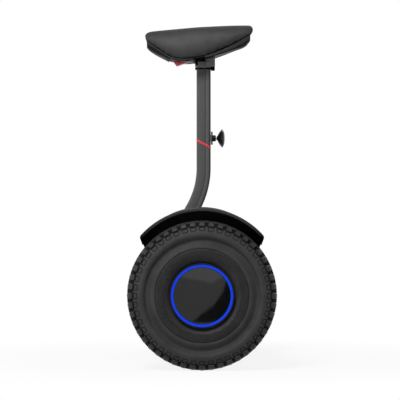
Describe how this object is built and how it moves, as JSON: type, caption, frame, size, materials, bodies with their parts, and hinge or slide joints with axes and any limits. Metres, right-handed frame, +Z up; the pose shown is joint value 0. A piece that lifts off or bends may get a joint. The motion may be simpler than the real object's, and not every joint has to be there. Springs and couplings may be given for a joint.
{
  "type": "self-balancing scooter",
  "caption": "Two-wheeled self-balancing scooter, steered by the knees with a padded, height-adjustable post that leans from side to side.",
  "frame": {"origin": "on the floor below the wheel axle, midway between the wheels", "axes": "+Z up, +X towards the rear (the clamp knob's side), +Y along the axle towards the right wheel"},
  "size_m": [0.262, 0.5478, 0.6194],
  "materials": {
    "tyre_rubber": "matt rubber",
    "cast_aluminium": "as cast",
    "motor_casting": "black anodised",
    "steel": "turned",
    "winding": "copper windings on a steel core",
    "bronze": "plain",
    "post_paint": "satin dark grey",
    "shell_black": "fine grained black",
    "cover_black": "satin, knurled inner band",
    "mat_black": "ribbed",
    "gloss_black": "polished",
    "signal_red": "satin",
    "blue_light": "lit diffuser",
    "clear_lens": "clear",
    "board_green": "lacquered",
    "cell_wrap": "shrink wrap",
    "shoe_plastic": "moulded",
    "cushion_skin": "moulded foam skin"
  },
  "bodies": {
    "frame": {"chassis": "cast_aluminium", "bottom_cover": "shell_black", "deck_shell": "shell_black", "battery_pack": "cell_wrap", "control_board": "board_green", "left_foot_mat": "mat_black", "right_foot_mat": "mat_black", "left_fender": "shell_black", "right_fender": "shell_black", "spine_cover": "shell_black", "headlight": "clear_lens", "tail_light": "signal_red", "charge_port": "gloss_black", "left_axle_clamp": "steel", "right_axle_clamp": "steel", "front_bush": "bronze", "rear_bush": "bronze", "centring_spring": "steel", "left_axle": "steel", "right_axle": "steel", "left_stator": "winding", "right_stator": "winding", "left_light_board": "board_green", "right_light_board": "board_green", "left_light_ring": "blue_light", "right_light_ring": "blue_light", "left_hub_cap": "gloss_black", "right_hub_cap": "gloss_black"},
    "left_wheel": {"left_tyre": "tyre_rubber", "left_motor_shell": "motor_casting", "left_magnet_ring": "steel", "left_bearing_inner": "steel", "left_bearing_outer": "steel", "left_motor_cover": "motor_casting", "left_wheel_cover": "cover_black"},
    "right_wheel": {"right_tyre": "tyre_rubber", "right_motor_shell": "motor_casting", "right_magnet_ring": "steel", "right_bearing_inner": "steel", "right_bearing_outer": "steel", "right_motor_cover": "motor_casting", "right_wheel_cover": "cover_black"},
    "power_button": {"power_button": "gloss_black"},
    "charge_cap": {"charge_cap": "shell_black"},
    "steering_post": {"steering_shaft": "steel", "post_foot": "cast_aluminium", "lower_tube": "post_paint", "marker_ring": "signal_red", "mast": "post_paint"},
    "height_sleeve": {"sleeve": "post_paint", "knob_boss": "shell_black", "head_bracket": "cast_aluminium", "pad_base": "shell_black", "cushion": "cushion_skin", "latch_pin": "steel", "latch_spring": "steel", "clamp_shoe": "shoe_plastic"},
    "clamp_knob": {"clamp_screw": "steel", "clamp_knob": "gloss_black"},
    "pad_latch": {"pad_latch": "signal_red"}
  },
  "joints": [
    {"name": "left_wheel_spin", "type": "hinge", "parent": "frame", "child": "left_wheel", "pos_m": [0, -0.235, 0.131], "axis": [0, 1, 0], "continuous": true},
    {"name": "right_wheel_spin", "type": "hinge", "parent": "frame", "child": "right_wheel", "pos_m": [0, 0.235, 0.131], "axis": [0, 1, 0], "continuous": true},
    {"name": "steering_tilt", "type": "hinge", "parent": "frame", "child": "steering_post", "pos_m": [-0.06, 0, 0.124], "axis": [1, 0, 0], "range_deg": [-10, 10], "stiffness_Nm_per_rad": 60},
    {"name": "height_slide", "type": "slide", "parent": "steering_post", "child": "height_sleeve", "axis": [0, 0, 1], "range_m": [0, 0.09]},
    {"name": "clamp_knob_turn", "type": "hinge", "parent": "height_sleeve", "child": "clamp_knob", "pos_m": [0.01695, 0, 0.412], "axis": [1, 0, 0], "range_deg": [0, 540]},
    {"name": "pad_latch_pull", "type": "hinge", "parent": "height_sleeve", "child": "pad_latch", "pos_m": [-0.031, 0, 0.5655], "axis": [0, 1, 0], "range_deg": [0, 12], "stiffness_Nm_per_rad": 0.4, "springref_deg": -8.59},
    {"name": "power_button_press", "type": "slide", "parent": "frame", "child": "power_button", "axis": [0, 0, -1], "range_m": [0, 0.0015], "stiffness_N_per_m": 600, "springref_m": -0.0005},
    {"name": "charge_cap_hinge", "type": "hinge", "parent": "frame", "child": "charge_cap", "pos_m": [0.1083, 0, 0.129], "axis": [0, -1, 0], "range_deg": [0, 110]}
  ]
}
